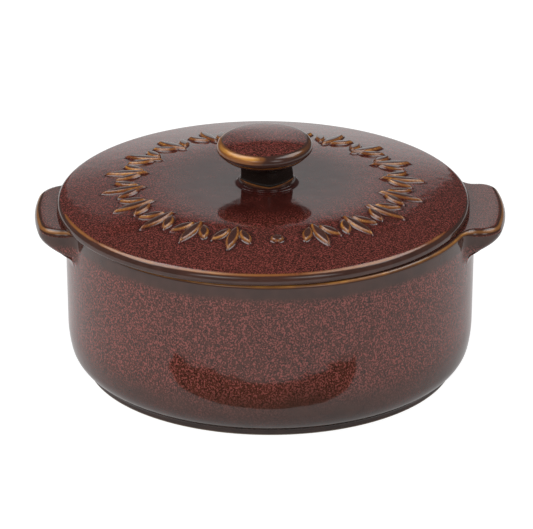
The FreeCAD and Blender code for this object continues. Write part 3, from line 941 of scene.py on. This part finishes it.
@dataclass(frozen=True)
class Glaze:
    """Glossy reactive glaze: speckled maroon where it is thick, brown where it thins, amber on edges."""

    deep: Screen
    fleck: Screen
    ink: Screen
    brown: Screen
    amber: Screen
    gold: Screen
    pool: Screen
    grain: float
    streak: float
    patches: float
    amber_width: float
    # Near-black painted shade for the knob's neck under the cap.
    neck: Screen = (28, 22, 19)
    clay: Screen = (176, 158, 138)
    gloss: float = 0.08
    worn_rough: float = 0.24
    clay_rough: float = 0.85
    cloud: float = 26.0
    wear: float = 17.0
    drift: float = 7.0
    swell: float = 5.0
    grit: float = 0.5
    fleck_from: float = 0.50
    fleck_to: float = 0.58
    ink_from: float = 0.47
    ink_to: float = 0.39
    ink_share: float = 0.85
    bump_depth: float = 0.12

    def material(self, slot: str) -> Material:
        """Build the glaze for one of the record's slots.

        Two fine noises scatter light flecks and dark specks on the thick glaze. It goes over to brown where
        the smooth field is high, to a dark colour where glaze pools in hollows and where shade is painted, to
        near-black painted shade on the knob's neck, and to amber and gold where the edge field is low.

        Args:
            slot: Name of the slot, used as the material's name.

        Returns:
            The material.
        """
        nodes = Nodes(bpy.data.materials.new(slot))
        place = nodes.place()
        drawn = nodes.moved("MULTIPLY", place, (1.0, 1.0, self.streak))
        aside = nodes.moved("ADD", drawn, (0.31, 0.17, 0.23))
        specks = nodes.noise(drawn, self.grain, detail=1.0)
        worms = nodes.noise(aside, self.grain * 1.15, detail=1.0, rough=0.5)
        cloud = nodes.noise(place, self.cloud, rough=0.6)
        drift = nodes.noise(place, self.drift, detail=2.0)

        # Thick, speckled glaze
        light = nodes.maths("MULTIPLY_ADD", cloud, 0.3 * self.patches, -0.15 * self.patches)
        flecked = nodes.ramp(nodes.maths("ADD", worms, light), self.fleck_from, self.fleck_to)
        dark = nodes.ramp(nodes.maths("SUBTRACT", specks, light), self.ink_from, self.ink_to)
        thick = nodes.mix(flecked, linear(self.deep), linear(self.fleck))
        thick = nodes.mix(nodes.maths("MULTIPLY", dark, self.ink_share), thick, linear(self.ink))

        # Smooth brown glaze, dark pools of glaze and painted shade
        smooth = nodes.maths("ADD", nodes.field(Field.SMOOTH), nodes.maths("MULTIPLY_ADD", worms, 0.5, -0.25))
        cover = nodes.maths("MULTIPLY_ADD", cloud, self.patches, -0.45 * self.patches)
        smooth = nodes.maths("ADD", smooth, cover)
        brown = nodes.mix(nodes.ramp(drift, 0.3, 0.7), linear(self.brown), linear(self.brown, 0.86))
        body = nodes.mix(nodes.ramp(smooth, 0.12, 0.78), thick, brown)
        # Glaze pools in hollows, and painted shade towards the dish's foot and on the dome round the knob.
        pool = nodes.field(Field.POOL_AND_SHADE)
        pool_and_shade_share = nodes.maths("MULTIPLY", pool, nodes.ramp(drift, 0.2, 0.6, 0.55, 0.9))
        body = nodes.mix(pool_and_shade_share, body, linear(self.pool))
        # Near-black painted shade on the knob's neck under the cap.
        body = nodes.mix(nodes.ramp(pool, 1.1, 1.9), body, linear(self.neck))

        # Thin glaze on edges
        gap = nodes.maths("SUBTRACT", nodes.field(Field.EDGE), nodes.maths("MULTIPLY_ADD", drift, 0.5, -0.25))
        edge = nodes.mix(nodes.ramp(gap, 0.42 * self.amber_width, 0.0), linear(self.amber), linear(self.gold))
        worn = nodes.ramp(gap, 1.5 * self.amber_width, 0.45 * self.amber_width)
        kept = nodes.ramp(nodes.noise(place, self.wear, detail=2.0), 0.38, 0.52, 0.5, 1.0)
        worn = nodes.maths("MULTIPLY", worn, kept)
        colour = nodes.mix(worn, body, edge)

        # Bare clay under the foot
        bare = nodes.field(Field.BARE)
        clay = nodes.mix(nodes.noise(place, self.grit, detail=2.0), linear(self.clay), linear(self.clay, 0.8))
        colour = nodes.mix(bare, colour, clay)

        rough = nodes.ramp(specks, 0.3, 0.7, self.gloss * 0.8, self.gloss * 1.25)
        rough = nodes.maths("MAXIMUM", rough, nodes.maths("MULTIPLY", worn, self.worn_rough))
        rough = nodes.maths("MAXIMUM", rough, nodes.maths("MULTIPLY", bare, self.clay_rough))
        relief = nodes.maths("MULTIPLY_ADD", specks, 0.04, nodes.noise(place, self.swell, detail=1.0))
        bump = nodes.add("Bump", {"Strength": 0.5, "Distance": self.bump_depth * MM, "Height": relief})
        return nodes.finish(nodes.add("BsdfPrincipled", {
            "Base Color": colour, "Roughness": rough, "IOR": 1.5, "Normal": bump.outputs["Normal"]}))


# The dark colours of glaze pools darken hollows and also serve as painted shade: on the dish towards the
# foot, on the lid round the knob.
DISH_GLAZE = Glaze(
    deep=(80, 44, 35), fleck=(141, 75, 68), ink=(40, 25, 20), brown=(72, 48, 41), amber=(138, 90, 46),
    gold=(206, 146, 66), pool=(42, 29, 26), grain=0.5, streak=0.85, patches=0.8, amber_width=0.56)
LID_GLAZE = Glaze(
    deep=(81, 39, 31), fleck=(140, 67, 61), ink=(34, 18, 14), brown=(74, 49, 42), amber=(142, 88, 42),
    gold=(212, 148, 62), pool=(44, 13, 10), grain=0.48, streak=1.0, patches=0.3, amber_width=0.54)


@dataclass
class Studio:
    """Camera, pale floor, backdrop, soft lamps and the cards that the glaze mirrors."""

    focal_px: float = 5580.0
    width_px: float = 533.0
    height_px: float = 529.0
    origin_px: Pair = (270.0, 359.06)
    distance: float = 2000.0
    elevation: float = 24.0
    azimuth: float = 0.85
    sensor: float = 36.0
    floor_half: float = 4.0
    backdrop_far: float = 1.6
    backdrop_half: float = 0.35
    backdrop_middle: float = -0.06
    backdrop_top: float = 1.15
    # Outline on the floor and glow of a dark card that only gloss sees: a painted reflection of the wooden
    # spreader lying in front of the dish, which isn't built, and of its shadow.
    strip: tuple[Pair, ...] = (
        (-85, -102), (-45, -116), (3, -118), (54, -115), (81, -105), (68, -96), (55, -91), (33, -86),
        (-32, -86), (-60, -87), (-78, -90))
    spreader_reflection_colour: Triple = (0.09, 0.045, 0.022)
    floor_matt: float = 0.86
    floor_seen: float = 0.93
    floor_lit: float = 0.24
    floor_mirrored: float = 0.3
    ambient: float = 0.44
    room: float = 0.08
    aim: Triple = (0.0, 0.0, 0.05)

    def camera(self) -> None:
        """Stand the camera where the photograph was taken from.

        The camera first looks at the origin. Then it is turned by the angles that carry the origin from the
        middle of the frame to its own pixel, each the arc tangent of pixels over focal length.
        """
        lift, side = math.radians(self.elevation), math.radians(self.azimuth)
        place = Vector((math.sin(side) * math.cos(lift), -math.cos(side) * math.cos(lift), math.sin(lift)))
        right = Vector((math.cos(side), math.sin(side), 0.0))
        ahead = -place
        up = right.cross(ahead)
        shift_x = (self.origin_px[0] - self.width_px / 2) / self.focal_px
        shift_y = (self.origin_px[1] - self.height_px / 2) / self.focal_px
        aim = (ahead - right * shift_x + up * shift_y).normalized()
        data = bpy.data.cameras.new("camera")
        data.sensor_fit = "HORIZONTAL"
        data.sensor_width = self.sensor
        data.lens = self.sensor * self.focal_px / self.width_px
        data.clip_end = 60.0
        camera = bpy.data.objects.new("camera", data)
        camera.location = place * self.distance * MM
        camera.rotation_euler = aim.to_track_quat("-Z", "Y").to_euler()
        bpy.context.scene.collection.objects.link(camera)
        bpy.context.scene.camera = camera

    @staticmethod
    def sheet(middle: Triple, half: Triple) -> list[list[float]]:
        """Corners of a rectangle, from its middle and half its size along each axis, one of which is 0."""
        wide, high = np.flatnonzero(half)
        corners = np.tile(np.array(middle, float), (4, 1))
        corners[:, wide] += half[wide] * np.array([-1, 1, 1, -1])
        corners[:, high] += half[high] * np.array([-1, -1, 1, 1])
        return corners.tolist()

    @staticmethod
    def card(name: str, corners: list[list[float]], material: Material, mirrored: bool = True) -> None:
        """Add a flat card to the stage.

        Args:
            name: Name of the card.
            corners: Its corners in metres.
            material: Its finish.
            mirrored: Whether only gloss sees it, so that it neither shows nor lights nor shades anything.
        """
        mesh = bpy.data.meshes.new(name)
        mesh.from_pydata(corners, [], [tuple(range(len(corners)))])
        mesh.materials.append(material)
        obj = bpy.data.objects.new(name, mesh)
        bpy.context.scene.collection.objects.link(obj)
        for flag in ("visible_camera", "visible_diffuse", "visible_shadow", "visible_transmission"):
            setattr(obj, flag, not mirrored)

    def white(self) -> Material:
        """Pale matt that the camera sees as white, with a share left for shadows, and gloss partly so."""
        nodes = Nodes(bpy.data.materials.new("floor_white"))
        path = nodes.add("LightPath").outputs
        mirror = nodes.maths("MAXIMUM", path["Is Glossy Ray"], path["Is Transmission Ray"])
        mirror = nodes.maths("MULTIPLY", mirror, self.floor_mirrored)
        share = nodes.maths("MAXIMUM", path["Is Camera Ray"], mirror)
        seen, lit = nodes.glow(self.floor_seen), nodes.matt(self.floor_lit)
        both = nodes.add("AddShader", {0: seen.outputs[0], 1: lit.outputs[0]})
        return nodes.finish(nodes.blend(share, nodes.matt(self.floor_matt), both))

    def sweep(self) -> Material:
        """Light of the backdrop that the lid mirrors.

        Brightest low in the middle, fading to the top, and to the sides the more the higher it is.
        """
        nodes = Nodes(bpy.data.materials.new("backdrop_light"))
        x, _, z = nodes.axes()
        aside = nodes.ramp(nodes.off(x, 0.02), 0.0, 0.36, 0.0, 0.58)
        aside = nodes.maths("MULTIPLY", aside, nodes.ramp(z, 0.25, 0.65, 0.3, 1.0))
        level = nodes.maths("SUBTRACT", 1.0, aside)
        for fade in (nodes.ramp(z, 0.2, 0.7, 0.97, 0.74), nodes.ramp(z, 0.84, self.backdrop_top, 1.0, 0.0)):
            level = nodes.maths("MULTIPLY", level, fade)
        return nodes.finish(nodes.glow(level))

    def world(self) -> None:
        """Even ambient light, white where the camera looks past the floor, and a dark room in the gloss."""
        nodes = Nodes(bpy.data.worlds.new("studio"))
        path = nodes.add("LightPath").outputs
        ambient, white, room = (
            nodes.add("Background", {"Color": (1.0, 1.0, 1.0, 1.0), "Strength": level})
            for level in (self.ambient, 1.0, self.room))
        seen = nodes.maths("MAXIMUM", path["Is Camera Ray"], path["Is Transmission Ray"])
        bpy.context.scene.world = nodes.finish(
            nodes.blend(seen, nodes.blend(path["Is Glossy Ray"], ambient, room), white), "World")

    def panel(self, name: str, middle: Triple, half: Triple, level: float, full: float = 0.5) -> None:
        """A card of soft light that the rounded edges mirror, fading out towards its four sides.

        Args:
            name: Name of the card.
            middle: Its middle in metres.
            half: Half its size along each axis, 0 along the one it faces.
            level: Strength in its middle.
            full: Share of the half size that has the full strength.
        """
        nodes = Nodes(bpy.data.materials.new(f"{name}_light"))
        axes = nodes.axes()
        strength = level
        for axis in np.flatnonzero(half):
            fade = nodes.ramp(nodes.off(axes[int(axis)], middle[axis]), half[axis], full * half[axis])
            strength = nodes.maths("MULTIPLY", strength, fade)
        self.card(name, self.sheet(middle, half), nodes.finish(nodes.glow(strength)))

    def lamp(self, name: str, place: Triple, size: Pair, power: float) -> None:
        """Add a soft rectangular lamp that gloss doesn't mirror.

        Args:
            name: Name of the lamp.
            place: Its place in metres.
            size: Its width and height in metres.
            power: Its power in watts.
        """
        data = bpy.data.lights.new(name, "AREA")
        data.shape = "RECTANGLE"
        data.size, data.size_y = size
        data.energy = power
        lamp = bpy.data.objects.new(name, data)
        lamp.location = place
        lamp.rotation_euler = (Vector(self.aim) - Vector(place)).to_track_quat("-Z", "Y").to_euler()
        lamp.visible_glossy = False
        bpy.context.scene.collection.objects.link(lamp)

    def build(self) -> None:
        """Set up the whole studio."""
        self.camera()
        self.world()
        half, mid = self.floor_half, self.backdrop_top / 2
        self.card("floor", self.sheet((0.0, 0.0, 0.0), (half, half, 0.0)), self.white(), mirrored=False)
        middle = (self.backdrop_middle, self.backdrop_far, mid)
        self.card("backdrop", self.sheet(middle, (self.backdrop_half, 0.0, mid)), self.sweep())
        # Painted reflection: a dark brown card that glows for gloss only, standing in for the mirror image of
        # the wooden spreader in front of the dish.
        nodes = Nodes(bpy.data.materials.new("spreader_reflection_colour"))
        self.card("spreader_reflection_card", [[x * MM, y * MM, MM] for x, y in self.strip],
                  nodes.finish(nodes.glow(1.0, self.spreader_reflection_colour)))
        self.panel("left_panel", (-0.7, 0.3, 1.2), (0.62, 0.66, 0.0), 4.4)
        self.panel("right_panel", (0.75, 0.3, 1.2), (0.58, 0.66, 0.0), 4.0)
        self.panel("front_left_panel", (-0.8, -1.5, 1.4), (0.75, 0.0, 0.75), 3.0, 0.05)
        self.panel("front_right_panel", (0.95, -1.5, 1.4), (0.75, 0.0, 0.75), 3.0, 0.05)
        self.lamp("key", (-0.78, -0.42, 0.62), (1.0, 0.7), 6.4)
        self.lamp("fill", (0.82, -0.36, 0.60), (0.8, 0.6), 3.6)


def main() -> None:
    """Build the studio and both pieces, tie them to the frame and note the sizes."""
    logging.basicConfig(level=logging.INFO, format="%(name)s: %(message)s")
    bpy.context.scene.view_settings.view_transform = "Standard"
    Studio().build()
    for part, node, slot, glaze in ((Dish(), "dish", "dish_glaze", DISH_GLAZE),
                                    (Lid(), "lid", "lid_glaze", LID_GLAZE)):
        piece = part.build(glaze)
        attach(piece, "root")
        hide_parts(node)
        log.info("%s: %d vertices, %d faces", piece.name, len(piece.data.vertices), len(piece.data.polygons))


if __name__ == "__main__":
    main()
